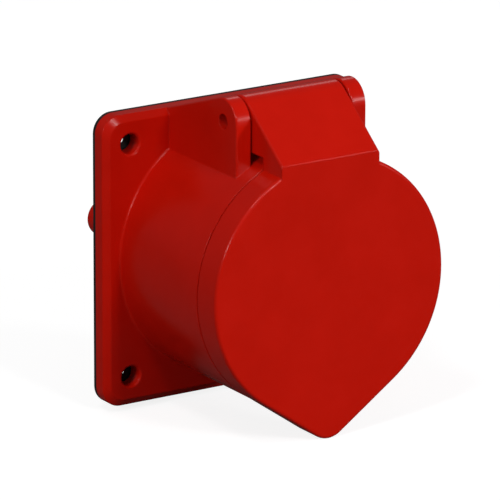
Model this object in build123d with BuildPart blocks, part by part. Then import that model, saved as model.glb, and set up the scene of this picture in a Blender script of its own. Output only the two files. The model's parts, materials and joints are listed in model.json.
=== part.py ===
from build123d import *
from math import acos, atan2, cos, degrees, hypot, radians, sin
import os

# Industrial panel socket, four poles, with a sprung hinged lid. Millimetres.
# The origin is the flange's centre on the panel plane. The front is -Y, up is +Z.
# A depth is a distance in front of the panel plane, a reach is one behind it.

# Mounting flange and its gasket
flange_width = 75.0
flange_height = 75.0
flange_thickness = 4.4
flange_corner_radius = 5.0
flange_bevel_width = 1.7
flange_bevel_depth = 1.2
flange_edge_radius = 0.5
gasket_thickness = 1.0
bolt_edge_distance = 7.5
bolt_hole_radius = 2.6
bolt_hole_rim = 0.4
gasket_collar_clearance = 0.3

# Barrel, its rim inside the lid, and the channel for the plug's shroud
insert_radius = 23.5
channel_width = 4.7
barrel_wall = 4.8
barrel_depth = 41.0
barrel_root_radius = 0.6
rim_length = 2.6
rim_root_clearance = 0.45
rim_taper = 0.4
mouth_lead = 0.5
key_width = 8.5
key_groove_depth = 1.4

# Seat for the contact carrier, and the collar behind the flange
seat_back_depth = 5.0
seat_ring_thickness = 5.0
seat_clearance = 0.2
collar_set_in = 1.5
collar_wall = 2.0
collar_reach = 5.0

# Hinge: ears on the housing, pin along X
hinge_set_back = 10.6
hinge_rise = 7.1
ear_side_gap = 0.4
ear_thickness = 4.3
ear_nose_radius = 6.0
ear_edge_radius = 0.4
pin_radius = 1.85
pin_hole_clearance = 0.05
pin_running_clearance = 0.07
pin_recess = 2.5
pin_blind_wall = 1.5
pin_chamfer = 0.3
web_distance = 7.5
web_thickness = 2.5
web_gap = 0.3

# Lid
lid_skirt_length = 8.4
lid_seam = 0.2
lid_wall = 1.6
lid_plate = 2.4
lid_edge_radius = 0.8
lid_back_edge_radius = 0.3
lid_tip_radius = 6.0
lid_tip_overhang = 6.0
lid_open_angle = 145.0
block_half_width = 14.1
block_front_drop = 0.3
block_wall = 2.0
block_cheek = 2.5
block_edge_radius = 0.7
cheek_drop = 7.2
cheek_heel_lead = 4.6
shell_end_angle = 107.0
seal_width = 4.4
seal_gap = 0.3
seal_side_gap = 0.2
seal_groove_depth = 0.8
seal_rib_width = 1.0
seal_rib_height = 1.2

# Lid spring, wound round the pin
wire_radius = 0.5
coil_radius = 3.2
coil_length = 11.0
coil_turns = 6
coil_start_angle = 220.0
lid_leg_length = 11.0
anchor_hole_clearance = 0.2
anchor_depth = 1.2

# Contact carrier
insert_recess = 2.6
insert_edge = 0.6
carrier_flange_thickness = 3.0
carrier_flange_clearance = 0.2
front_web = 2.0
pole_edge_distance = 7.5
pole_step_angle = 90.0
pin_entry_clearance = 0.35
entry_lead = 0.6
chamber_clearance = 0.25

# Contacts: the earth pole takes an 8 mm pin, the phases take 6 mm pins
phase_bore_radius = 3.05
earth_bore_radius = 4.05
contact_wall = 1.15
contact_set_back = 0.3
contact_bore_length = 22.7
contact_lead = 0.5
slit_width = 0.8
slit_length = 14.0
ring_thickness = 0.5
ring_length = 3.0
ring_set_back = 3.0
ring_gap = 1.2
ring_clearance = 0.05
collar_step = 0.8
collar_fit = 0.05
waist_radius = 3.3
terminal_radius = 3.6

# Terminal block behind the panel
block_plate_thickness = 6.0
post_radius = 4.85
post_reach = 31.0
post_end_wall = 1.7
post_fit = 0.05
post_edge_radius = 0.5
wire_bore_radius = 2.3
wire_bore_length = 12.0
wire_entry_clearance = 0.3
wire_entry_lead = 1.0
screw_end_distance = 9.0
screw_boss_radius = 3.5
screw_boss_distance = 6.3
barrier_edge_distance = 3.5
barrier_thickness = 1.6
barrier_reach = 17.0

# Screws and clamps
clamp_screw_radius = 1.6
clamp_head_radius = 2.4
clamp_head_height = 1.5
clamp_head_recess = 0.3
clamp_head_clearance = 0.2
screw_head_edge = 0.3
driver_slot_width = 0.8
driver_slot_depth = 0.7
clamp_width = 2.4
clamp_thickness = 0.4
clamp_length = 9.0
clamp_hook = 1.0
clamp_side_gap = 0.1
clamp_lift = 0.05
clamp_room = 0.6
carrier_screw_angle = 45.0
carrier_screw_distance = 2.9
carrier_screw_radius = 1.3
carrier_screw_head_radius = 2.4
carrier_screw_head_height = 1.6
carrier_screw_end_gap = 0.5
pilot_floor = 1.0
carrier_screw_clearance = 0.3
carrier_screw_bite = 0.05

# How far a cut runs past the face that it starts from
cut_margin = 1.0

# Sizes that follow from the ones above
channel_radius = insert_radius + channel_width
barrel_radius = channel_radius + barrel_wall
pole_circle_radius = insert_radius - pole_edge_distance
carrier_screw_circle = insert_radius + carrier_screw_distance
barrier_radius = insert_radius - barrier_edge_distance
collar_radius = barrel_radius - collar_set_in
lid_tip_reach = barrel_radius + lid_tip_overhang
bolt_spacing_x = flange_width - 2 * bolt_edge_distance
bolt_spacing_z = flange_height - 2 * bolt_edge_distance
rim_depth = barrel_depth + rim_length
insert_depth = rim_depth - insert_recess
channel_floor_depth = seat_back_depth + seat_ring_thickness
ear_inner = block_half_width + ear_side_gap
ear_outer = ear_inner + ear_thickness
hinge_depth = barrel_depth - hinge_set_back
hinge_height = barrel_radius + hinge_rise
ear_foot_height = (channel_radius**2 - ear_outer**2) ** 0.5
flange_front_depth = gasket_thickness + flange_thickness
bevel_start_depth = flange_front_depth - flange_bevel_depth
lid_back_depth = barrel_depth + lid_seam
lid_depth = lid_back_depth + lid_skirt_length
lid_inner_depth = lid_depth - lid_plate
lid_inner_radius = barrel_radius - lid_wall
block_front_height = barrel_radius - block_front_drop
block_foot_height = (lid_inner_radius**2 - block_half_width**2) ** 0.5 - lid_wall
cheek_bottom_height = hinge_height - cheek_drop
cheek_heel_depth = hinge_depth + cheek_heel_lead
lid_tip_centre = lid_tip_reach - lid_tip_radius
rim_root_radius = lid_inner_radius - rim_root_clearance
rim_mouth_radius = rim_root_radius - rim_taper
collar_inner_radius = collar_radius - collar_wall
seat_radius = insert_radius + seat_clearance
carrier_back_depth = seat_back_depth - carrier_flange_thickness
carrier_flange_radius = collar_inner_radius - carrier_flange_clearance
plate_reach = block_plate_thickness - carrier_back_depth
pin_left = -(ear_outer - pin_recess)
pin_right = ear_outer - pin_blind_wall
pin_hole_radius = pin_radius + pin_hole_clearance
knuckle_bore_radius = pin_radius + pin_running_clearance
contact_front_depth = insert_depth - front_web - contact_set_back
terminal_end_reach = post_reach - post_end_wall
screw_reach = post_reach - screw_end_distance
pilot_depth = seat_ring_thickness - pilot_floor
carrier_screw_length = plate_reach + seat_back_depth + pilot_depth - carrier_screw_end_gap
top_edge = (-bevel_start_depth, flange_height / 2)
barrel_root = (barrel_radius, -flange_front_depth - barrel_root_radius)
barrel_foot = (barrel_radius + barrel_root_radius, -flange_front_depth)

poles = {
    "l1": (2 * pole_step_angle, phase_bore_radius),
    "l2": (pole_step_angle, phase_bore_radius),
    "l3": (0, phase_bore_radius),
    "earth": (3 * pole_step_angle, earth_bore_radius),
}
pole_angles = [angle for angle, bore_radius in poles.values()]


def from_hinge(radius, angle):
    """A (Y, Z) point round the hinge axis; the angle turns from the front upwards."""
    turn = radians(angle)
    return (-hinge_depth - radius * cos(turn), hinge_height + radius * sin(turn))


def tangent_angle(point, radius):
    """The angle at which a line from the point meets a circle round the hinge, going over its top."""
    front = -hinge_depth - point[0]
    up = point[1] - hinge_height
    lean = acos(radius / hypot(front, up))
    if front > 0:
        return degrees(atan2(up, front) + lean)
    return degrees(atan2(up, front) - lean) % 360


def pole_place(angle):
    """The (X, Z) place of a pole on its circle."""
    return (pole_circle_radius * cos(radians(angle)), pole_circle_radius * sin(radians(angle)))


def pole_plane(angle, depth):
    """A plane across a pole's axis, facing the front, with its local x pointing outwards."""
    x, z = pole_place(angle)
    outwards = (cos(radians(angle)), 0, sin(radians(angle)))
    return Plane(origin=(x, -depth, z), x_dir=outwards, z_dir=(0, -1, 0))


def pole_section(angle):
    """The plane that holds a pole's half section: local x is the radius, local y is +Y."""
    x, z = pole_place(angle)
    turn = radians(angle)
    return Plane(origin=(x, 0, z), x_dir=(cos(turn), 0, sin(turn)), z_dir=(-sin(turn), 0, cos(turn)))


def pole_axis(angle):
    x, z = pole_place(angle)
    return Axis((x, 0, z), (0, 1, 0))


def screw_plane(angle, distance):
    """A plane across a terminal screw's axis, facing outwards from the pole."""
    turn = radians(angle)
    x, z = pole_place(angle)
    origin = (x + distance * cos(turn), screw_reach, z + distance * sin(turn))
    return Plane(origin=origin, x_dir=(0, 1, 0), z_dir=(cos(turn), 0, sin(turn)))


def carrier_screw_places():
    """The (X, Z) places of the two screws that hold the carrier in the housing."""
    places = []
    for angle in (carrier_screw_angle, carrier_screw_angle + 180):
        turn = radians(angle)
        places.append((carrier_screw_circle * cos(turn), carrier_screw_circle * sin(turn)))
    return places


def spring_coil():
    """The spring's coil line round the pin, from the barrel's leg to the leg under the lid's slope."""
    turns = coil_turns + (coil_start_angle - block_tangent) / 360
    start_turn = radians(coil_start_angle)
    start_plane = Plane(
        origin=(-coil_length / 2, -hinge_depth, hinge_height),
        x_dir=(0, -cos(start_turn), sin(start_turn)),
        z_dir=(1, 0, 0),
    )
    return start_plane.location * Helix(coil_length / turns, coil_length, coil_radius, mode=Mode.PRIVATE)


os.makedirs("parts", exist_ok=True)

# The lid's slope touches the knuckle at this angle, and the spring's legs leave the coil from it
block_tangent = tangent_angle((-lid_depth, block_front_height), ear_nose_radius)
coil = spring_coil()
anchor_direction = (coil % 0) * -1
anchor_height = (barrel_radius**2 - (coil_length / 2) ** 2) ** 0.5 - anchor_depth
anchor_leg_length = ((coil @ 0).Z - anchor_height) / -anchor_direction.Z

# One hinge ear: its top runs from the flange's bevel up to a round nose on the hinge axis
ear_top_angle = tangent_angle(top_edge, ear_nose_radius)
with BuildPart() as ear:
    with BuildSketch(Plane.YZ.offset(ear_inner)):
        with BuildLine():
            Line((-bevel_start_depth, ear_foot_height), top_edge)
            Line(top_edge, from_hinge(ear_nose_radius, ear_top_angle))
            ThreePointArc(
                from_hinge(ear_nose_radius, ear_top_angle),
                from_hinge(ear_nose_radius, ear_top_angle / 2),
                from_hinge(ear_nose_radius, 0),
            )
            Line(from_hinge(ear_nose_radius, 0), (-hinge_depth - ear_nose_radius, ear_foot_height))
            Line((-hinge_depth - ear_nose_radius, ear_foot_height), (-bevel_start_depth, ear_foot_height))
        make_face()
    extrude(amount=ear_outer - ear_inner)
    nose_edges = ear.edges().filter_by(Axis.X, reverse=True).sort_by(Axis.Z)[-4:]
    front_edges = ear.edges().filter_by(Axis.Z).sort_by(Axis.Y)[:2]
    fillet(nose_edges + front_edges, ear_edge_radius)

# Housing: flange, barrel and ears in one moulding, open from the front and the back
with BuildPart() as housing:
    with BuildSketch(Plane.XZ.offset(gasket_thickness)):
        RectangleRounded(flange_width, flange_height, flange_corner_radius)
    extrude(amount=bevel_start_depth - gasket_thickness)
    with BuildSketch(Plane.XZ.offset(bevel_start_depth)):
        RectangleRounded(flange_width, flange_height, flange_corner_radius)
    with BuildSketch(Plane.XZ.offset(flange_front_depth)):
        RectangleRounded(
            flange_width - 2 * flange_bevel_width,
            flange_height - 2 * flange_bevel_width,
            flange_corner_radius - flange_bevel_width / 2,
        )
    loft()
    fillet(housing.faces().sort_by(Axis.Y)[0].edges(), flange_edge_radius)

    # Barrel, rim and the collar that passes through the panel
    with BuildSketch(Plane.XY):
        with BuildLine():
            Polyline(
                barrel_foot,
                (barrel_foot[0], -gasket_thickness),
                (collar_radius, -gasket_thickness),
                (collar_radius, collar_reach),
                (0, collar_reach),
                (0, -rim_depth),
                (rim_mouth_radius, -rim_depth),
                (rim_root_radius, -barrel_depth),
                (barrel_radius, -barrel_depth),
                barrel_root,
            )
            RadiusArc(barrel_root, barrel_foot, barrel_root_radius)
        make_face()
    revolve(axis=Axis.Y)

    # Ears, and the web between them that stops the open lid
    add(ear.part)
    mirror(ear.part, about=Plane.YZ)
    stop_turn = radians(block_tangent + lid_open_angle)
    web_rise = (-web_distance * cos(stop_turn) - ear_nose_radius - web_gap) / -sin(stop_turn)
    web_front = -hinge_depth + web_distance
    with BuildSketch(Plane.YZ.offset(-ear_inner)):
        with BuildLine():
            Polyline(
                (web_front, ear_foot_height),
                (web_front, hinge_height + web_rise),
                (web_front + web_thickness, hinge_height + web_rise),
                (web_front + web_thickness, ear_foot_height),
                close=True,
            )
        make_face()
    extrude(amount=2 * ear_inner)

    # Everything inside the barrel: lead-in, shroud channel, seat ring and collar
    with BuildSketch(Plane.XY):
        with BuildLine():
            Polyline(
                (0, -rim_depth - mouth_lead),
                (channel_radius + 2 * mouth_lead, -rim_depth - mouth_lead),
                (channel_radius, -rim_depth + mouth_lead),
                (channel_radius, -channel_floor_depth),
                (seat_radius, -channel_floor_depth),
                (seat_radius, -seat_back_depth),
                (collar_inner_radius, -seat_back_depth),
                (collar_inner_radius, collar_reach + cut_margin),
                (0, collar_reach + cut_margin),
                close=True,
            )
        make_face()
    revolve(axis=Axis.Y, mode=Mode.SUBTRACT)

    # Key groove at six o'clock
    with BuildSketch(Plane.XZ.offset(channel_floor_depth)):
        with Locations((0, -channel_radius)):
            Rectangle(key_width, 2 * key_groove_depth)
    extrude(amount=rim_depth, mode=Mode.SUBTRACT)

    # Mounting holes, each with a small bevel at the front
    with BuildSketch(Plane.XZ):
        with GridLocations(bolt_spacing_x, bolt_spacing_z, 2, 2):
            Circle(bolt_hole_radius)
    extrude(amount=flange_front_depth, mode=Mode.SUBTRACT)
    rim_ring = [
        edge
        for edge in housing.edges().filter_by(GeomType.CIRCLE)
        if abs(edge.radius - bolt_hole_radius) < 0.01 and edge.center().Y < -bevel_start_depth
    ]
    chamfer(rim_ring, bolt_hole_rim)

    # Pin hole: right through the left ear and blind in the right one
    with BuildSketch(Plane.YZ.offset(-ear_outer - cut_margin)):
        with Locations((-hinge_depth, hinge_height)):
            Circle(pin_hole_radius)
    extrude(amount=ear_outer + cut_margin + pin_right, mode=Mode.SUBTRACT)

    # Slanted hole in the barrel's top for the spring's leg
    with BuildSketch(Plane(origin=coil @ 0, z_dir=anchor_direction)):
        Circle(wire_radius + anchor_hole_clearance)
    extrude(amount=anchor_leg_length + anchor_hole_clearance, mode=Mode.SUBTRACT)

    # Pilot holes for the carrier screws, from behind
    with BuildSketch(Plane.XZ.offset(seat_back_depth)):
        with Locations(*carrier_screw_places()):
            Circle(carrier_screw_radius + carrier_screw_bite)
    extrude(amount=pilot_depth, mode=Mode.SUBTRACT)
housing.part.label = "housing"
export_step(housing.part, "parts/housing.step")


# Flange gasket, with the flange's outline
with BuildPart() as flange_gasket:
    with BuildSketch(Plane.XZ):
        RectangleRounded(flange_width, flange_height, flange_corner_radius)
        Circle(collar_radius + gasket_collar_clearance, mode=Mode.SUBTRACT)
        with GridLocations(bolt_spacing_x, bolt_spacing_z, 2, 2):
            Circle(bolt_hole_radius, mode=Mode.SUBTRACT)
    extrude(amount=gasket_thickness)
flange_gasket.part.label = "flange_gasket"
export_step(flange_gasket.part, "parts/flange_gasket.step")

# Hinge pin
with BuildPart() as hinge_pin:
    with BuildSketch(Plane.YZ.offset(pin_left)):
        with Locations((-hinge_depth, hinge_height)):
            Circle(pin_radius)
    extrude(amount=pin_right - pin_left)
    chamfer(hinge_pin.edges().filter_by(GeomType.CIRCLE), pin_chamfer)
hinge_pin.part.label = "hinge_pin"
export_step(hinge_pin.part, "parts/hinge_pin.step")

# Lid cap: the round front with its pointed finger tip, with rounded edges
with BuildPart() as lid_cap:
    with BuildSketch(Plane.XZ.offset(lid_back_depth)):
        Circle(barrel_radius)
        with Locations((0, -lid_tip_centre)):
            Circle(lid_tip_radius)
        make_hull()
    extrude(amount=lid_depth - lid_back_depth)
    fillet(lid_cap.faces().sort_by(Axis.Y)[0].edges(), lid_edge_radius)
    fillet(lid_cap.faces().sort_by(Axis.Y)[-1].edges(), lid_back_edge_radius)

# Lid: the hinge block with its two cheeks, the cap, and the cavity that holds the seal
inner_radius = ear_nose_radius - block_wall
slope_turn = radians(block_tangent)
inner_run = (lid_inner_depth - hinge_depth - inner_radius * cos(slope_turn)) / sin(slope_turn)
inner_rise = inner_radius * sin(slope_turn) - inner_run * cos(slope_turn)
with BuildPart() as lid:
    slope_foot = (-lid_depth, block_front_height)
    slope_top = from_hinge(ear_nose_radius, block_tangent)
    knuckle_top = from_hinge(ear_nose_radius, (block_tangent + 180) / 2)
    knuckle_back = from_hinge(ear_nose_radius, 180)
    knuckle_foot = from_hinge(ear_nose_radius, 270)
    with BuildSketch(Plane.YZ.offset(-block_half_width)):
        with BuildLine():
            Line((-lid_depth, block_foot_height), slope_foot)
            Line(slope_foot, slope_top)
            ThreePointArc(slope_top, knuckle_top, knuckle_back)
            Line(knuckle_back, (knuckle_back[0], block_foot_height))
            Line((knuckle_back[0], block_foot_height), (-lid_depth, block_foot_height))
        make_face()
    extrude(amount=2 * block_half_width)
    side_edges = [
        edge
        for edge in lid.edges().filter_by(Axis.X, reverse=True)
        if edge.center().Y > -lid_depth + block_wall and edge.center().Z > block_foot_height + block_wall
    ]
    fillet(side_edges, block_edge_radius)

    # The cheeks' lower edge stays above the barrel
    with BuildSketch(Plane.YZ.offset(-block_half_width - cut_margin)):
        with BuildLine():
            Polyline(
                knuckle_foot,
                (-cheek_heel_depth, cheek_bottom_height),
                (-lid_back_depth, cheek_bottom_height),
                (-lid_back_depth, block_foot_height - cut_margin),
                (knuckle_back[0] + cut_margin, block_foot_height - cut_margin),
                (knuckle_back[0] + cut_margin, hinge_height),
                knuckle_back,
            )
            ThreePointArc(knuckle_back, from_hinge(ear_nose_radius, (180 + 270) / 2), knuckle_foot)
        make_face()
    extrude(amount=2 * block_half_width + 2 * cut_margin, mode=Mode.SUBTRACT)

    # Hollow between the cheeks, open at the bottom and behind
    with BuildSketch(Plane.YZ.offset(-block_half_width + block_cheek)):
        with BuildLine():
            hollow_front = (-lid_inner_depth, hinge_height + inner_rise)
            hollow_top = from_hinge(inner_radius, block_tangent)
            shell_middle = from_hinge(inner_radius, (block_tangent + shell_end_angle) / 2)
            shell_inside = from_hinge(inner_radius, shell_end_angle)
            shell_outside = from_hinge(ear_nose_radius + block_wall, shell_end_angle)
            behind = -hinge_depth + ear_nose_radius + block_wall
            Line((-lid_inner_depth, block_foot_height - cut_margin), hollow_front)
            Line(hollow_front, hollow_top)
            ThreePointArc(hollow_top, shell_middle, shell_inside)
            Polyline(
                shell_inside,
                shell_outside,
                (behind, shell_outside[1]),
                (behind, block_foot_height - cut_margin),
                (-lid_inner_depth, block_foot_height - cut_margin),
            )
        make_face()
    extrude(amount=2 * (block_half_width - block_cheek), mode=Mode.SUBTRACT)
    add(lid_cap.part)

    # Cavity inside the cap, and the rib that the seal fits round
    with BuildSketch(Plane.XZ.offset(lid_back_depth - cut_margin)):
        Circle(lid_inner_radius)
        with Locations((0, -lid_tip_centre)):
            Circle(lid_tip_radius - lid_wall)
        make_hull()
    extrude(amount=lid_inner_depth - lid_back_depth + cut_margin, mode=Mode.SUBTRACT)
    seal_outer_radius = lid_inner_radius - seal_side_gap
    seal_inner_radius = seal_outer_radius - seal_width
    rib_radius = seal_inner_radius - seal_side_gap
    with BuildSketch(Plane.XZ.offset(lid_inner_depth - seal_rib_height)):
        Circle(rib_radius)
        Circle(rib_radius - seal_rib_width, mode=Mode.SUBTRACT)
    extrude(amount=seal_rib_height + lid_plate / 2)

    # Bore for the hinge pin
    with BuildSketch(Plane.YZ.offset(-block_half_width - cut_margin)):
        with Locations((-hinge_depth, hinge_height)):
            Circle(knuckle_bore_radius)
    extrude(amount=2 * block_half_width + 2 * cut_margin, mode=Mode.SUBTRACT)
lid.part.label = "lid"
export_step(lid.part, "parts/lid.step")

# Lid seal: a rubber ring with a shallow groove in the face that meets the rim
seal_front = -lid_inner_depth
seal_back = -(rim_depth + seal_gap)
seal_middle = (seal_outer_radius + seal_inner_radius) / 2
with BuildPart() as lid_seal:
    with BuildSketch(Plane.XY):
        with BuildLine():
            Polyline(
                (seal_inner_radius, seal_front),
                (seal_outer_radius, seal_front),
                (seal_outer_radius, seal_back),
                (seal_middle, seal_back - seal_groove_depth),
                (seal_inner_radius, seal_back),
                close=True,
            )
        make_face()
    revolve(axis=Axis.Y)
lid_seal.part.label = "lid_seal"
export_step(lid_seal.part, "parts/lid_seal.step")

# Lid spring: a coil round the pin, one leg in the barrel and one under the lid's slope
with BuildPart() as lid_spring:
    with BuildSketch(Plane(origin=coil @ 0, z_dir=coil % 0)):
        Circle(wire_radius)
    sweep(path=coil, is_frenet=True)
    with BuildSketch(Plane(origin=coil @ 0, z_dir=anchor_direction)):
        Circle(wire_radius)
    extrude(amount=anchor_leg_length)
    with BuildSketch(Plane(origin=coil @ 1, z_dir=coil % 1)):
        Circle(wire_radius)
    extrude(amount=lid_leg_length)
lid_spring.part.label = "lid_spring"
export_step(lid_spring.part, "parts/lid_spring.step")


def chamber_radius(bore_radius):
    """The bore in the carrier that holds a contact with its spring ring."""
    return bore_radius + contact_wall + ring_clearance + ring_thickness + chamber_clearance


# Contact carrier: the insert in the barrel's mouth, with a flange that sits against the seat ring
with BuildPart() as contact_carrier:
    with BuildSketch(Plane.XZ.offset(carrier_back_depth)):
        Circle(carrier_flange_radius)
    extrude(amount=carrier_flange_thickness)
    with BuildSketch(Plane.XZ.offset(seat_back_depth)):
        Circle(insert_radius)
    extrude(amount=insert_depth - seat_back_depth)
    chamfer(contact_carrier.faces().sort_by(Axis.Y)[0].edges(), insert_edge)
    for angle, bore_radius in poles.values():
        with BuildSketch(pole_plane(angle, carrier_back_depth)):
            Circle(chamber_radius(bore_radius))
        extrude(amount=insert_depth - front_web - carrier_back_depth, mode=Mode.SUBTRACT)
        with BuildSketch(pole_plane(angle, carrier_back_depth)):
            Circle(chamber_radius(bore_radius) + collar_step)
        extrude(amount=carrier_flange_thickness, mode=Mode.SUBTRACT)
        entry_radius = bore_radius + pin_entry_clearance
        with BuildSketch(pole_plane(angle, insert_depth - front_web)):
            Circle(entry_radius)
        with BuildSketch(pole_plane(angle, insert_depth)):
            Circle(entry_radius + entry_lead)
        loft(mode=Mode.SUBTRACT)
    with BuildSketch(Plane.XZ.offset(carrier_back_depth)):
        with Locations(*carrier_screw_places()):
            Circle(carrier_screw_radius + carrier_screw_clearance)
    extrude(amount=carrier_flange_thickness, mode=Mode.SUBTRACT)
contact_carrier.part.label = "contact_carrier"
export_step(contact_carrier.part, "parts/contact_carrier.step")

# Contacts: a slit tube for the pin, a collar held between carrier and block, and a wire terminal
contact_end_reach = terminal_end_reach - clamp_room
clamp_slot_height = wire_bore_radius + clamp_lift + clamp_thickness + clamp_side_gap
for pole, (angle, bore_radius) in poles.items():
    tube_radius = bore_radius + contact_wall
    tube_front = -contact_front_depth
    bore_end = tube_front + contact_bore_length
    collar_front = -seat_back_depth + collar_fit
    collar_back = -carrier_back_depth - collar_fit
    contact_collar = chamber_radius(bore_radius) + collar_step - chamber_clearance
    with BuildPart() as contact:
        with BuildSketch(pole_section(angle)):
            with BuildLine():
                Polyline(
                    (bore_radius + contact_lead, tube_front),
                    (bore_radius, tube_front + contact_lead),
                    (bore_radius, bore_end),
                    (0, bore_end),
                    (0, contact_end_reach - wire_bore_length),
                    (wire_bore_radius, contact_end_reach - wire_bore_length),
                    (wire_bore_radius, contact_end_reach),
                    (terminal_radius, contact_end_reach),
                    (terminal_radius, collar_back),
                    (contact_collar, collar_back),
                    (contact_collar, collar_front),
                    (waist_radius, collar_front),
                    (waist_radius, bore_end + contact_wall),
                    (tube_radius, bore_end + contact_wall),
                    (tube_radius, tube_front),
                    close=True,
                )
            make_face()
        revolve(axis=pole_axis(angle))
        with BuildSketch(pole_plane(angle, contact_front_depth - slit_length)):
            Rectangle(2 * tube_radius + 2 * cut_margin, slit_width)
            Rectangle(slit_width, 2 * tube_radius + 2 * cut_margin)
        extrude(amount=slit_length + cut_margin, mode=Mode.SUBTRACT)
        with BuildSketch(pole_plane(angle, -contact_end_reach)):
            with Locations((clamp_slot_height / 2, 0)):
                Rectangle(clamp_slot_height, clamp_width + 2 * clamp_side_gap)
        extrude(amount=clamp_length, mode=Mode.SUBTRACT)
        with BuildSketch(screw_plane(angle, 0)):
            Circle(clamp_screw_radius + carrier_screw_bite)
        extrude(amount=terminal_radius + cut_margin, mode=Mode.SUBTRACT)
    contact.part.label = f"contact_{pole}"
    export_step(contact.part, f"parts/contact_{pole}.step")

    # Split spring ring that presses the contact's fingers on the pin
    with BuildPart() as ring:
        with BuildSketch(pole_plane(angle, contact_front_depth - ring_set_back - ring_length)):
            Circle(tube_radius + ring_clearance + ring_thickness)
            Circle(tube_radius + ring_clearance, mode=Mode.SUBTRACT)
            with Locations((-tube_radius, 0)):
                Rectangle(4 * ring_thickness, ring_gap, mode=Mode.SUBTRACT)
        extrude(amount=ring_length)
    ring.part.label = f"contact_ring_{pole}"
    export_step(ring.part, f"parts/contact_ring_{pole}.step")

    # Clamp strip that lies in the terminal's slot and hooks over its end
    strip_low = wire_bore_radius + clamp_lift
    with BuildPart() as clamp:
        with BuildSketch(pole_plane(angle, -contact_end_reach - clamp_lift - clamp_thickness)):
            with Locations((strip_low + clamp_thickness / 2, 0)):
                Rectangle(clamp_thickness, clamp_width)
        extrude(amount=clamp_length + clamp_thickness - clamp_side_gap)
        with BuildSketch(pole_plane(angle, -contact_end_reach - clamp_lift - clamp_thickness)):
            with Locations((strip_low + clamp_hook / 2, 0)):
                Rectangle(clamp_hook, clamp_width)
        extrude(amount=clamp_thickness)
    clamp.part.label = f"wire_clamp_{pole}"
    export_step(clamp.part, f"parts/wire_clamp_{pole}.step")

# Terminal block: a plate that traps the contacts, with a post round each terminal
with BuildPart() as terminal_block:
    for angle in pole_angles:
        with BuildSketch(pole_plane(angle, -post_reach)):
            Circle(post_radius)
        extrude(amount=post_reach)
    fillet(terminal_block.faces().group_by(Axis.Y)[-1].edges(), post_edge_radius)
    with BuildSketch(Plane.XZ.offset(-plate_reach)):
        Circle(carrier_flange_radius)
    extrude(amount=block_plate_thickness)
    with BuildSketch(Plane.XZ.offset(-barrier_reach)):
        Rectangle(2 * barrier_radius, barrier_thickness, rotation=carrier_screw_angle)
        Rectangle(2 * barrier_radius, barrier_thickness, rotation=carrier_screw_angle + 90)
    extrude(amount=barrier_reach)
    for angle in pole_angles:
        with BuildSketch(screw_plane(angle, 0)):
            Circle(screw_boss_radius)
        extrude(amount=screw_boss_distance)
    for angle in pole_angles:
        with BuildSketch(pole_plane(angle, -terminal_end_reach)):
            Circle(terminal_radius + post_fit)
        extrude(amount=terminal_end_reach + carrier_back_depth, mode=Mode.SUBTRACT)
        with BuildSketch(pole_plane(angle, -terminal_end_reach)):
            Circle(wire_bore_radius + wire_entry_clearance)
        with BuildSketch(pole_plane(angle, -post_reach)):
            Circle(wire_bore_radius + wire_entry_clearance + wire_entry_lead)
        loft(mode=Mode.SUBTRACT)
        with BuildSketch(screw_plane(angle, 0)):
            Circle(clamp_head_radius + clamp_head_clearance)
        extrude(amount=screw_boss_distance, mode=Mode.SUBTRACT)
    with BuildSketch(Plane.XZ.offset(-plate_reach)):
        with Locations(*carrier_screw_places()):
            Circle(carrier_screw_radius + carrier_screw_clearance)
    extrude(amount=block_plate_thickness, mode=Mode.SUBTRACT)
terminal_block.part.label = "terminal_block"
export_step(terminal_block.part, "parts/terminal_block.step")

# Terminal screws, backed out of the wire bores
head_bottom = screw_boss_distance - clamp_head_recess - clamp_head_height
with BuildPart() as terminal_screws:
    for angle in pole_angles:
        with BuildSketch(screw_plane(angle, clamp_slot_height)):
            Circle(clamp_screw_radius)
        extrude(amount=head_bottom - clamp_slot_height)
        with BuildSketch(screw_plane(angle, head_bottom)):
            Circle(clamp_head_radius)
        extrude(amount=clamp_head_height)
        outwards = Axis((0, 0, 0), screw_plane(angle, 0).z_dir)
        head_rim = terminal_screws.edges(Select.LAST).filter_by(GeomType.CIRCLE).sort_by(outwards)[-1]
        fillet(head_rim, screw_head_edge)
        with BuildSketch(screw_plane(angle, head_bottom + clamp_head_height - driver_slot_depth)):
            Rectangle(2 * clamp_head_radius + cut_margin, driver_slot_width)
        extrude(amount=driver_slot_depth, mode=Mode.SUBTRACT)
terminal_screws.part.label = "terminal_screws"
export_step(terminal_screws.part, "parts/terminal_screws.step")

# Screws that hold the block and the carrier against the housing's seat ring
with BuildPart() as carrier_screws:
    with BuildSketch(Plane.XZ.offset(-plate_reach - carrier_screw_head_height)):
        with Locations(*carrier_screw_places()):
            Circle(carrier_screw_head_radius)
    extrude(amount=carrier_screw_head_height)
    fillet(carrier_screws.faces().group_by(Axis.Y)[-1].edges(), screw_head_edge)
    with BuildSketch(Plane.XZ.offset(-plate_reach)):
        with Locations(*carrier_screw_places()):
            Circle(carrier_screw_radius)
    extrude(amount=carrier_screw_length)
    with BuildSketch(Plane.XZ.offset(-plate_reach - carrier_screw_head_height)):
        with Locations(*carrier_screw_places()):
            Rectangle(2 * carrier_screw_head_radius + cut_margin, driver_slot_width)
    extrude(amount=driver_slot_depth, mode=Mode.SUBTRACT)
carrier_screws.part.label = "carrier_screws"
export_step(carrier_screws.part, "parts/carrier_screws.step")
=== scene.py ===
"""The looks of a panel socket with a sprung lid: finishes, spring, seals, screws and a studio round its frame."""

import json
import math

import bmesh
import bpy
from bpy.props import FloatProperty, FloatVectorProperty, IntProperty, PointerProperty
from bpy.types import Operator, Panel, PropertyGroup
from mathutils import Matrix, Vector


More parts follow.
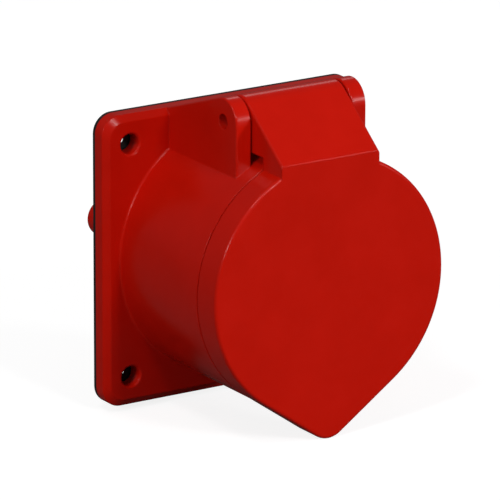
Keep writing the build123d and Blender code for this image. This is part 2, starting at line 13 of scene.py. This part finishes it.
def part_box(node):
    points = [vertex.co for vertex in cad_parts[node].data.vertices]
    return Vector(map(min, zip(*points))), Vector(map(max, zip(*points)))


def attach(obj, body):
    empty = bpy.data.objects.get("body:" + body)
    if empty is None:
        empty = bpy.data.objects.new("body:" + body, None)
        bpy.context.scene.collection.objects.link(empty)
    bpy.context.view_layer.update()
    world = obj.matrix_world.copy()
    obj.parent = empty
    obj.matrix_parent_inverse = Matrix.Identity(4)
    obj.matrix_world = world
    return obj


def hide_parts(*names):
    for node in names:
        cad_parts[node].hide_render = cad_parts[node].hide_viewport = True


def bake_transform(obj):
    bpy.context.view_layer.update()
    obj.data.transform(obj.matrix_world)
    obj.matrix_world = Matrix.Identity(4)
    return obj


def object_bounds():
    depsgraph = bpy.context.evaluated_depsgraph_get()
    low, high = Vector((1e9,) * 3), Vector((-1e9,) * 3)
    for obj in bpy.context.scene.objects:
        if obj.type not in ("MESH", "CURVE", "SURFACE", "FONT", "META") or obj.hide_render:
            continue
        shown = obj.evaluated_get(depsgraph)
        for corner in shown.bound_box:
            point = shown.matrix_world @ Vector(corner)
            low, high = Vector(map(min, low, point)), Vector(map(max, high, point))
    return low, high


bl_info = {
    "name": "Panel Socket Looks",
    "version": (1, 0, 0),
    "blender": (4, 5, 0),
    "location": "View3D > Sidebar > Panel Socket",
    "description": "Finishes, spring, seals, screws and studio of a panel socket with a hinged lid",
    "category": "Object",
}

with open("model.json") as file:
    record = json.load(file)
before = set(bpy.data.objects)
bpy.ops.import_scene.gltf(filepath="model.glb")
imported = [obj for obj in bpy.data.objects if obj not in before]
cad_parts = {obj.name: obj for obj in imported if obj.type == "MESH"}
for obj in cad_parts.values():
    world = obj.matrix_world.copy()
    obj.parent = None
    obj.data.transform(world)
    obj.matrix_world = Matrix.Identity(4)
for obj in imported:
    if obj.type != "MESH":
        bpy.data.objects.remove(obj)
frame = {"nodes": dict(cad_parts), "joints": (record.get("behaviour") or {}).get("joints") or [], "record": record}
cad_low, cad_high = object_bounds()
hinge_centre = Vector(frame["joints"][0]["pos_m"])
POLES = ("l1", "l2", "l3", "earth")
MM = 0.001
# Most of a noise pattern lies between these two values.
NOISE_LOW, NOISE_HIGH = 0.3, 0.7


def linear(hex_colour):
    """An sRGB hex colour as linear red, green and blue."""
    channels = [int(hex_colour[place:place + 2], 16) / 255 for place in (1, 3, 5)]
    return tuple(c / 12.92 if c <= 0.04045 else ((c + 0.055) / 1.055) ** 2.4 for c in channels)


def length(name, description, default):
    """A length property in metres, shown in the scene's unit."""
    return FloatProperty(
        name=name, description=description, default=default, min=0.0, unit="LENGTH", precision=5
    )


def colour(name, description, default):
    """A colour property from an sRGB hex value."""
    return FloatVectorProperty(
        name=name, description=description, default=linear(default), subtype="COLOR", size=3, min=0.0, max=1.0
    )


def power(name, description, default):
    """A light's power."""
    return FloatProperty(name=name, description=description, default=default, min=0.0, unit="POWER")


class SocketColours(PropertyGroup):
    """Base colours of the socket's finishes."""

    red: colour("Red plastic", "Moulded housing, lid and terminal block", "#CD1404")
    insert: colour("Insert", "Dark insert that carries the contacts", "#1E1F21")
    rubber: colour("Rubber", "Flange gasket and lid seal", "#141414")
    brass: colour("Brass", "Contact tubes and wire terminals", "#D9B56A")
    steel: colour("Steel", "Hinge pin and spring wire", "#B9B7B2")
    zinc: colour("Zinc plating", "Screws and wire clamps", "#C6C8C9")


class SocketSizes(PropertyGroup):
    """Sizes of the pieces that are modelled here."""

    wire_diameter: length("Spring wire", "Diameter of the lid spring's wire", 1.0 * MM)
    coil_radius: length("Coil radius", "From the hinge axis to the middle of the wire", 3.2 * MM)
    coil_length: length("Coil length", "Length of the coil along the hinge pin", 11.0 * MM)
    coil_turns: IntProperty(name="Coil turns", description="Whole turns between the two legs", default=6, min=1)
    coil_start: FloatProperty(
        name="Coil start", description="Where the barrel's leg leaves the coil, from the front upwards",
        default=math.radians(220), unit="ROTATION",
    )
    coil_end: FloatProperty(
        name="Coil end", description="Where the lid's leg leaves the coil, from the front upwards",
        default=math.radians(52), unit="ROTATION",
    )
    lid_leg: length("Lid leg", "Length of the spring's leg under the lid's slope", 11.0 * MM)
    barrel_leg: length("Barrel leg", "Length of the spring's leg that ends in the barrel", 8.8 * MM)
    seal_width: length("Seal width", "Width of the lid seal's ring", 4.4 * MM)
    seal_lip: length("Seal lip", "How far the rounded lips are turned in", 0.45 * MM)
    lip_hole: length("Hole lip", "Radius left open by the rubber lip in a screw hole", 1.05 * MM)
    lip_thickness: length("Lip thickness", "Thickness of that lip", 0.25 * MM)


class StudioSettings(PropertyGroup):
    """Camera and light of the product view."""

    azimuth: FloatProperty(
        name="Azimuth", description="Camera's turn round the object", default=math.radians(-32.364), unit="ROTATION"
    )
    elevation: FloatProperty(
        name="Elevation", description="Camera's height above the horizon", default=math.radians(17.055),
        unit="ROTATION",
    )
    roll: FloatProperty(
        name="Roll", description="Camera's turn about its own axis", default=math.radians(0.118), unit="ROTATION"
    )
    distance: length("Distance", "From the aim to the camera", 1.6035)
    aim_right: FloatProperty(
        name="Aim right", description="Aim to the right of the origin", default=6.974 * MM, unit="LENGTH", precision=5
    )
    aim_up: FloatProperty(
        name="Aim up", description="Aim above the origin", default=-3.281 * MM, unit="LENGTH", precision=5
    )
    focal: FloatProperty(name="Focal length", description="Lens for a sensor of 36 mm", default=461.9, min=1.0)
    light_distance: length("Light distance", "From the object to each light", 1.7)
    light_size: length("Light size", "Side of each square light", 0.25)
    front_power: power("Front light", "Power of the light in front and above", 7.0)
    right_power: power("Right light", "Power of the light in front, at the right", 8.8)
    left_power: power("Left light", "Power of the light at the left", 6.8)
    high_power: power("High light", "Power of the light high at the left", 4.3)
    back_power: power("Back light", "Power of the light above and behind", 0.45)
    fill: FloatProperty(name="Fill", description="Strength of the light from all sides", default=0.18, min=0.0)
    mirrored: FloatProperty(
        name="Mirrored white", description="Strength of the background where a surface mirrors it", default=0.09,
        min=0.0,
    )
    paper: colour("Paper", "Floor of the studio", "#F2F2F2")
    bounce: colour("Bounce", "Floor as the light that it returns sees it", "#6E6A68")


def add_node(tree, kind, settings=None, links=None):
    """Adds a node: settings go to its inputs or its options, links feed its inputs from other outputs."""
    node = tree.nodes.new(kind)
    for name, value in (settings or {}).items():
        if isinstance(name, int) or name in node.inputs:
            node.inputs[name].default_value = value
        else:
            setattr(node, name, value)
    for name, output in (links or {}).items():
        tree.links.new(output, node.inputs[name])
    return node


def new_material(name, settings):
    """A material with one Principled shader. Returns the material, its tree and the shader."""
    material = bpy.data.materials.new(name)
    material.use_nodes = True
    tree = material.node_tree
    tree.nodes.clear()
    shader = add_node(tree, "ShaderNodeBsdfPrincipled", settings)
    add_node(tree, "ShaderNodeOutputMaterial", links={"Surface": shader.outputs["BSDF"]})
    return material, tree, shader


def noise_on(tree, size, detail=2.0):
    """A noise pattern of that size in metres, fixed to the object."""
    place = add_node(tree, "ShaderNodeTexCoord")
    return add_node(
        tree, "ShaderNodeTexNoise", {"Scale": 1 / size, "Detail": detail}, {"Vector": place.outputs["Object"]}
    )


def vary(tree, shader, socket, pattern, low, high):
    """Spreads a pattern between two values of a shader's input."""
    spread = add_node(
        tree, "ShaderNodeMapRange",
        {"From Min": NOISE_LOW, "From Max": NOISE_HIGH, "To Min": low, "To Max": high}, {"Value": pattern},
    )
    tree.links.new(spread.outputs["Result"], shader.inputs[socket])


def shade(tree, shader, pattern, dark, light):
    """Blends the base colour between two shades by a pattern."""
    ramp = add_node(tree, "ShaderNodeValToRGB", links={"Fac": pattern})
    for element, position, rgb in zip(ramp.color_ramp.elements, (NOISE_LOW, NOISE_HIGH), (dark, light)):
        element.position = position
        element.color = (*rgb, 1.0)
    tree.links.new(ramp.outputs["Color"], shader.inputs["Base Color"])


def scaled(rgb, factor):
    """The same colour, lighter or darker."""
    return tuple(min(1.0, channel * factor) for channel in rgb)


def moulded_polyamide(name, rgb, roughness):
    """Injection-moulded polyamide: an even colour and satin gloss, with the fine grain of a spark-eroded mould,
    the faint waves that a shrinking wall leaves under a highlight, and edges just off sharp that catch light."""
    edge_radius = 0.5 * MM
    grain_size = 0.35 * MM
    wave_size = 14 * MM
    cloud_size = 9 * MM
    tint_spread = 0.03
    gloss_spread = 0.03
    material, tree, shader = new_material(
        name, {"IOR": 1.53, "Roughness": roughness, "Specular IOR Level": 0.2}
    )
    cloud = noise_on(tree, cloud_size)
    shade(
        tree, shader, cloud.outputs["Fac"],
        dark=scaled(rgb, 1 - tint_spread), light=scaled(rgb, 1 + tint_spread),
    )
    vary(
        tree, shader, "Roughness", cloud.outputs["Fac"],
        low=roughness - gloss_spread, high=roughness + gloss_spread,
    )
    edge = add_node(tree, "ShaderNodeBevel", {"samples": 6, "Radius": edge_radius})
    wave = add_node(
        tree, "ShaderNodeBump", {"Strength": 0.6, "Distance": 0.05 * MM},
        {"Height": noise_on(tree, wave_size, detail=0.0).outputs["Fac"], "Normal": edge.outputs["Normal"]},
    )
    grain = add_node(
        tree, "ShaderNodeBump", {"Strength": 0.5, "Distance": 0.008 * MM},
        {"Height": noise_on(tree, grain_size).outputs["Fac"], "Normal": wave.outputs["Normal"]},
    )
    tree.links.new(grain.outputs["Normal"], shader.inputs["Normal"])
    return material


def moulded_rubber(name, rgb):
    """Pressed EPDM rubber: nearly black and dull, with a slight bloom in patches and a fine skin."""
    bloom_size = 5 * MM
    skin_size = 0.5 * MM
    material, tree, shader = new_material(name, {"IOR": 1.5, "Roughness": 0.7})
    bloom = noise_on(tree, bloom_size)
    shade(tree, shader, bloom.outputs["Fac"], dark=scaled(rgb, 0.8), light=scaled(rgb, 1.6))
    vary(tree, shader, "Roughness", bloom.outputs["Fac"], low=0.62, high=0.8)
    skin = add_node(
        tree, "ShaderNodeBump", {"Strength": 0.6, "Distance": 0.02 * MM},
        {"Height": noise_on(tree, skin_size).outputs["Fac"]},
    )
    tree.links.new(skin.outputs["Normal"], shader.inputs["Normal"])
    return material


def machined_metal(name, rgb, roughness, pitch, direction):
    """Turned, ground or drawn metal: bright, with fine lines across the given direction that stretch a highlight."""
    patch_size = 2.5 * MM
    waves_at_scale_1 = 20 / math.tau
    material, tree, shader = new_material(name, {"Metallic": 1.0, "Roughness": roughness})
    place = add_node(tree, "ShaderNodeTexCoord")
    lines = add_node(
        tree, "ShaderNodeTexWave",
        {
            "bands_direction": direction, "Scale": 1 / (pitch * waves_at_scale_1), "Distortion": 0.6, "Detail": 2.0,
        },
        {"Vector": place.outputs["Object"]},
    )
    patches = noise_on(tree, patch_size)
    shade(tree, shader, patches.outputs["Fac"], dark=scaled(rgb, 0.9), light=scaled(rgb, 1.05))
    vary(tree, shader, "Roughness", patches.outputs["Fac"], low=roughness * 0.8, high=roughness * 1.3)
    cut = add_node(
        tree, "ShaderNodeBump", {"Strength": 0.35, "Distance": 0.01 * MM}, {"Height": lines.outputs["Fac"]}
    )
    tree.links.new(cut.outputs["Normal"], shader.inputs["Normal"])
    return material


def plated_steel(name, rgb):
    """Zinc-plated steel: a cool, slightly clouded grey with small crystals, duller than bare metal."""
    crystal_size = 0.8 * MM
    material, tree, shader = new_material(name, {"Metallic": 1.0, "Roughness": 0.38})
    crystals = noise_on(tree, crystal_size, detail=4.0)
    shade(tree, shader, crystals.outputs["Fac"], dark=scaled(rgb, 0.82), light=scaled(rgb, 1.05))
    vary(tree, shader, "Roughness", crystals.outputs["Fac"], low=0.3, high=0.48)
    return material


def dress(nodes, material):
    """Gives CAD nodes a finish."""
    for name in nodes:
        data = frame["nodes"][name].data
        data.materials.clear()
        data.materials.append(material)


def new_piece(name, mesh, material, replaced):
    """Turns a bmesh into an object with smooth shading. It stands for the replaced CAD nodes, if there are any."""
    sharp_from = math.radians(32)
    data = bpy.data.meshes.new(name)
    mesh.to_mesh(data)
    mesh.free()
    data.materials.append(material)
    data.shade_smooth()
    data.set_sharp_from_angle(angle=sharp_from)
    piece = bpy.data.objects.new(name, data)
    bpy.context.scene.collection.objects.link(piece)
    if replaced:
        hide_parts(*replaced)
    return piece


def spin_ring(mesh, outline, steps, x=0.0, z=0.0):
    """Spins a closed outline, given as radius and depth, all round the line along Y through x and z."""
    verts = [mesh.verts.new((x + radius, along, z)) for radius, along in outline]
    edges = [mesh.edges.new(pair) for pair in zip(verts, verts[1:] + verts[:1])]
    bmesh.ops.spin(
        mesh, geom=verts + edges, cent=(x, 0, z), axis=(0, 1, 0), dvec=(0, 0, 0),
        angle=math.tau, steps=steps, use_merge=True, use_duplicate=False,
    )


class SOCKET_OT_mouldings(Operator):
    """Finish the red mouldings: housing, lid and terminal block"""

    bl_idname = "socket.mouldings"
    bl_label = "Red Mouldings"

    def execute(self, context):
        colours = context.scene.socket_colours
        red = moulded_polyamide("Moulded polyamide, red", tuple(colours.red), roughness=0.22)
        dress(("housing", "lid", "terminal_block"), red)
        return {"FINISHED"}


class SOCKET_OT_insert(Operator):
    """Finish the dark insert that carries the contacts"""

    bl_idname = "socket.insert"
    bl_label = "Contact Insert"

    def execute(self, context):
        colours = context.scene.socket_colours
        dark = moulded_polyamide("Glass-filled polyamide, black", tuple(colours.insert), roughness=0.5)
        dress(("contact_carrier",), dark)
        return {"FINISHED"}


class SOCKET_OT_contacts(Operator):
    """Finish the contact tubes, their spring rings and the wire clamps"""

    bl_idname = "socket.contacts"
    bl_label = "Contacts"

    def execute(self, context):
        colours = context.scene.socket_colours
        brass = machined_metal(
            "Turned brass", tuple(colours.brass), roughness=0.24, pitch=0.18 * MM, direction="Y"
        )
        steel = machined_metal(
            "Spring steel strip", tuple(colours.steel), roughness=0.3, pitch=0.15 * MM, direction="Y"
        )
        zinc = plated_steel("Zinc-plated strip", tuple(colours.zinc))
        dress([f"contact_{pole}" for pole in POLES], brass)
        dress([f"contact_ring_{pole}" for pole in POLES], steel)
        dress([f"wire_clamp_{pole}" for pole in POLES], zinc)
        return {"FINISHED"}


class SOCKET_OT_hinge(Operator):
    """Finish the hinge pin and wind the lid spring round it"""

    bl_idname = "socket.hinge"
    bl_label = "Hinge Pin and Spring"

    def execute(self, context):
        sizes = context.scene.socket_sizes
        colours = context.scene.socket_colours
        pin = machined_metal(
            "Ground steel pin", tuple(colours.steel), roughness=0.2, pitch=0.2 * MM, direction="X"
        )
        wire = machined_metal(
            "Drawn spring wire", tuple(colours.steel), roughness=0.32, pitch=0.25 * MM, direction="X"
        )
        dress(("hinge_pin",), pin)
        spring = new_piece("lid_spring_coil", self.wound(sizes), wire, ["lid_spring"])
        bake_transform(spring)
        return {"FINISHED"}

    def wound(self, sizes):
        """The wire's section, spun into the coil and drawn out into two straight legs."""
        steps_per_turn = 40
        section_sides = 16
        sweep = sizes.coil_turns * math.tau + sizes.coil_start - sizes.coil_end
        steps = round(sweep / math.tau * steps_per_turn)
        rise = sizes.coil_length / steps
        spoke = Vector((0, -math.cos(sizes.coil_start), math.sin(sizes.coil_start)))
        start = hinge_centre - Vector((sizes.coil_length / 2, 0, 0)) + spoke * sizes.coil_radius
        turn = Matrix.Rotation(sweep / steps, 3, "X")
        heading = (Vector((rise, 0, 0)) + (turn @ spoke - spoke) * sizes.coil_radius).normalized()

        mesh = bmesh.new()
        section = heading.to_track_quat("Z", "Y").to_matrix().to_4x4()
        ring = bmesh.ops.create_circle(
            mesh, cap_ends=False, segments=section_sides, radius=sizes.wire_diameter / 2,
            matrix=Matrix.Translation(start) @ section,
        )["verts"]
        first = list(mesh.edges)
        spun = bmesh.ops.spin(
            mesh, geom=ring + first, cent=hinge_centre, axis=Vector((1, 0, 0)), dvec=Vector((rise, 0, 0)),
            angle=sweep, steps=steps, use_merge=False, use_duplicate=False,
        )["geom_last"]
        last = [edge for edge in spun if isinstance(edge, bmesh.types.BMEdge)]
        whole_turn = Matrix.Rotation(sweep, 3, "X")
        for edges, step in ((first, -heading * sizes.barrel_leg), (last, whole_turn @ heading * sizes.lid_leg)):
            drawn = bmesh.ops.extrude_edge_only(mesh, edges=edges)["geom"]
            verts = [vert for vert in drawn if isinstance(vert, bmesh.types.BMVert)]
            bmesh.ops.translate(mesh, verts=verts, vec=step)
            ends = [edge for edge in drawn if isinstance(edge, bmesh.types.BMEdge) and edge.is_boundary]
            bmesh.ops.contextual_create(mesh, geom=ends)
        bmesh.ops.recalc_face_normals(mesh, faces=mesh.faces)
        return mesh


class SOCKET_OT_rubber(Operator):
    """Finish the flange gasket and mould the lid seal with its rounded lips"""

    bl_idname = "socket.rubber"
    bl_label = "Gasket and Seal"

    def execute(self, context):
        sizes = context.scene.socket_sizes
        rubber = moulded_rubber("EPDM rubber", tuple(context.scene.socket_colours.rubber))
        dress(("flange_gasket",), rubber)
        seal = new_piece("lid_seal_ring", self.ring(sizes), rubber, ["lid_seal"])
        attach(seal, "lid")
        lips = new_piece("gasket_hole_lips", self.hole_lips(sizes), rubber, [])
        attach(lips, "socket")
        return {"FINISHED"}

    def hole_lips(self, sizes):
        """A thin rubber lip in each of the gasket's four screw holes, which a screw pushes aside."""
        set_in = 0.05 * MM
        bolts = next(mount["dims"] for mount in frame["record"]["mounts"] if mount["name"] == "panel_bolts")
        side = bolts["spacing_x_mm"] * MM / 2
        rise = bolts["spacing_y_mm"] * MM / 2
        rim = bolts["hole_r_mm"] * MM
        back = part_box("flange_gasket")[1].y - set_in
        front = back - sizes.lip_thickness
        outline = ((sizes.lip_hole, front), (rim, front), (rim, back), (sizes.lip_hole, back))
        mesh = bmesh.new()
        for x in (-side, side):
            for z in (-rise, rise):
                spin_ring(mesh, outline, steps=48, x=x, z=z)
        bmesh.ops.recalc_face_normals(mesh, faces=mesh.faces)
        return mesh

    def ring(self, sizes):
        """The seal's section with a groove between two lips, spun round the barrel's axis."""
        groove_share = 0.25
        same_depth = 0.01 * MM
        low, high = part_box("lid_seal")
        outer = high.x
        inner = outer - sizes.seal_width
        middle = (outer + inner) / 2
        groove = (high.y - low.y) * groove_share
        outline = ((inner, low.y), (outer, low.y), (outer, high.y), (middle, high.y - groove), (inner, high.y))
        mesh = bmesh.new()
        spin_ring(mesh, outline, steps=128)
        lips = [
            edge for edge in mesh.edges
            if all(abs(vert.co.y - high.y) < same_depth for vert in edge.verts)
        ]
        bmesh.ops.bevel(
            mesh, geom=lips, offset=sizes.seal_lip, affect="EDGES", segments=3, profile=0.5, material=-1,
            offset_type="OFFSET", clamp_overlap=True,
        )
        bmesh.ops.recalc_face_normals(mesh, faces=mesh.faces)
        return mesh


class SOCKET_OT_screws(Operator):
    """Finish the terminal screws and the carrier screws"""

    bl_idname = "socket.screws"
    bl_label = "Screws"

    def execute(self, context):
        zinc = plated_steel("Zinc-plated steel", tuple(context.scene.socket_colours.zinc))
        dress(("terminal_screws", "carrier_screws"), zinc)
        return {"FINISHED"}


class SOCKET_OT_stage(Operator):
    """Set up the studio: pale floor, soft lights and the camera"""

    bl_idname = "socket.stage"
    bl_label = "Studio"

    def execute(self, context):
        studio = context.scene.socket_studio
        self.floor(studio)
        self.world(context.scene, studio)
        self.light("front_light", (0.05, -0.85, 0.53), studio, studio.front_power)
        self.light("right_light", (0.62, -0.75, 0.22), studio, studio.right_power)
        self.light("left_light", (-0.85, -0.35, 0.40), studio, studio.left_power)
        self.light("high_light", (-0.44, -0.33, 0.84), studio, studio.high_power)
        self.light("back_light", (0.50, 0.66, 0.55), studio, studio.back_power)
        self.camera(context.scene, studio)
        context.scene.view_settings.view_transform = "Standard"
        return {"FINISHED"}

    def seen(self, tree, kinds):
        """1 for these kinds of rays, such as the camera's own and mirrored ones, and 0 for the rest."""
        path = add_node(tree, "ShaderNodeLightPath")
        share = path.outputs[kinds[0]]
        for kind in kinds[1:]:
            share = add_node(
                tree, "ShaderNodeMath", {"operation": "MAXIMUM"}, {0: share, 1: path.outputs[kind]}
            ).outputs["Value"]
        return share

    def floor(self, studio):
        """A wide round sheet of paper just under the object. It shows nearly white, and keeps a soft shadow."""
        radius = 4.0
        clearance = 0.05 * MM
        shadow_share = 0.4
        glow = 1.4
        # A Mix node has sockets for each type of data, so those for colour go by their number.
        factor_in, first_colour_in, second_colour_in, colour_out = 0, 6, 7, 2
        mesh = bmesh.new()
        bmesh.ops.create_circle(mesh, cap_ends=True, segments=96, radius=radius)
        bmesh.ops.translate(mesh, verts=mesh.verts, vec=(0, 0, cad_low.z - clearance))
        data = bpy.data.meshes.new("studio_floor")
        mesh.to_mesh(data)
        mesh.free()
        material = bpy.data.materials.new("Matt paper, white")
        material.use_nodes = True
        tree = material.node_tree
        tree.nodes.clear()
        seen = self.seen(tree, ["Is Camera Ray"])
        tint = add_node(
            tree, "ShaderNodeMix",
            {
                "data_type": "RGBA",
                first_colour_in: (*studio.bounce, 1.0),
                second_colour_in: (*studio.paper, 1.0),
            },
            {factor_in: seen},
        )
        paper = add_node(tree, "ShaderNodeBsdfDiffuse", links={"Color": tint.outputs[colour_out]})
        white = add_node(tree, "ShaderNodeEmission", {"Color": (1.0, 1.0, 1.0, 1.0), "Strength": glow})
        share = add_node(
            tree, "ShaderNodeMath", {"operation": "MULTIPLY", 1: 1 - shadow_share}, {0: seen}
        )
        mix = add_node(
            tree, "ShaderNodeMixShader", links={0: share.outputs["Value"], 1: paper.outputs[0], 2: white.outputs[0]}
        )
        add_node(tree, "ShaderNodeOutputMaterial", links={"Surface": mix.outputs["Shader"]})
        data.materials.append(material)
        floor = bpy.data.objects.new("studio_floor", data)
        bpy.context.scene.collection.objects.link(floor)

    def world(self, scene, studio):
        """White where the camera sees it, dim where a surface mirrors it, and an even fill from all sides."""
        world = bpy.data.worlds.new("Studio")
        scene.world = world
        world.use_nodes = True
        tree = world.node_tree
        tree.nodes.clear()
        white = self.seen(tree, ["Is Camera Ray", "Is Transmission Ray"])
        mirrored = add_node(
            tree, "ShaderNodeMapRange", {"To Min": studio.fill, "To Max": studio.mirrored},
            {"Value": self.seen(tree, ["Is Glossy Ray"])},
        )
        strength = add_node(
            tree, "ShaderNodeMath", {"operation": "MAXIMUM"}, {0: white, 1: mirrored.outputs["Result"]}
        )
        background = add_node(
            tree, "ShaderNodeBackground", {"Color": (1.0, 1.0, 1.0, 1.0)}, {"Strength": strength.outputs["Value"]}
        )
        add_node(tree, "ShaderNodeOutputWorld", links={"Surface": background.outputs["Background"]})

    def light(self, name, direction, studio, energy):
        """A square soft light that faces the object from that direction."""
        data = bpy.data.lights.new(name, "AREA")
        data.shape = "SQUARE"
        data.size = studio.light_size
        data.energy = energy
        lamp = bpy.data.objects.new(name, data)
        lamp.location = Vector(direction).normalized() * studio.light_distance
        lamp.rotation_euler = Vector(direction).to_track_quat("Z", "Y").to_euler()
        bpy.context.scene.collection.objects.link(lamp)

    def camera(self, scene, studio):
        """A long lens from the left and above, with a small roll."""
        turn, rise = studio.azimuth, studio.elevation
        back = Vector((math.sin(turn) * math.cos(rise), -math.cos(turn) * math.cos(rise), math.sin(rise)))
        right = Vector((math.cos(turn), math.sin(turn), 0.0))
        up = back.cross(right)
        level = Matrix((right, up, back)).transposed()
        axes = level @ Matrix.Rotation(studio.roll, 3, "Z")
        aim = axes @ Vector((studio.aim_right, studio.aim_up, 0.0))
        data = bpy.data.cameras.new("product_camera")
        data.sensor_width = 36.0
        data.lens = studio.focal
        data.clip_start, data.clip_end = 0.1, 20.0
        camera = bpy.data.objects.new("product_camera", data)
        camera.matrix_world = Matrix.Translation(aim + back * studio.distance) @ axes.to_4x4()
        scene.collection.objects.link(camera)
        scene.camera = camera


class SOCKET_PT_looks(Panel):
    """Sizes, colours and steps of the panel socket's looks"""

    bl_label = "Panel Socket"
    bl_space_type = "VIEW_3D"
    bl_region_type = "UI"
    bl_category = "Panel Socket"

    def draw(self, context):
        for group in (context.scene.socket_colours, context.scene.socket_sizes, context.scene.socket_studio):
            box = self.layout.box()
            for name in group.__annotations__:
                box.prop(group, name)
        for operator in OPERATORS:
            self.layout.operator(operator.bl_idname)


GROUPS = (("socket_colours", SocketColours), ("socket_sizes", SocketSizes), ("socket_studio", StudioSettings))
OPERATORS = (
    SOCKET_OT_mouldings, SOCKET_OT_insert, SOCKET_OT_contacts, SOCKET_OT_hinge, SOCKET_OT_rubber,
    SOCKET_OT_screws, SOCKET_OT_stage,
)


def register():
    """Adds the add-on's classes and its groups of properties to Blender."""
    for name, group in GROUPS:
        bpy.utils.register_class(group)
        setattr(bpy.types.Scene, name, PointerProperty(type=group))
    for operator in OPERATORS:
        bpy.utils.register_class(operator)
    bpy.utils.register_class(SOCKET_PT_looks)


def unregister():
    """Takes them out again, in reverse order."""
    bpy.utils.unregister_class(SOCKET_PT_looks)
    for operator in reversed(OPERATORS):
        bpy.utils.unregister_class(operator)
    for name, group in reversed(GROUPS):
        delattr(bpy.types.Scene, name)
        bpy.utils.unregister_class(group)


def main():
    """Registers the add-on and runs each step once."""
    register()
    bpy.ops.socket.mouldings()
    bpy.ops.socket.insert()
    bpy.ops.socket.contacts()
    bpy.ops.socket.hinge()
    bpy.ops.socket.rubber()
    bpy.ops.socket.screws()
    bpy.ops.socket.stage()


if __name__ == "__main__":
    main()
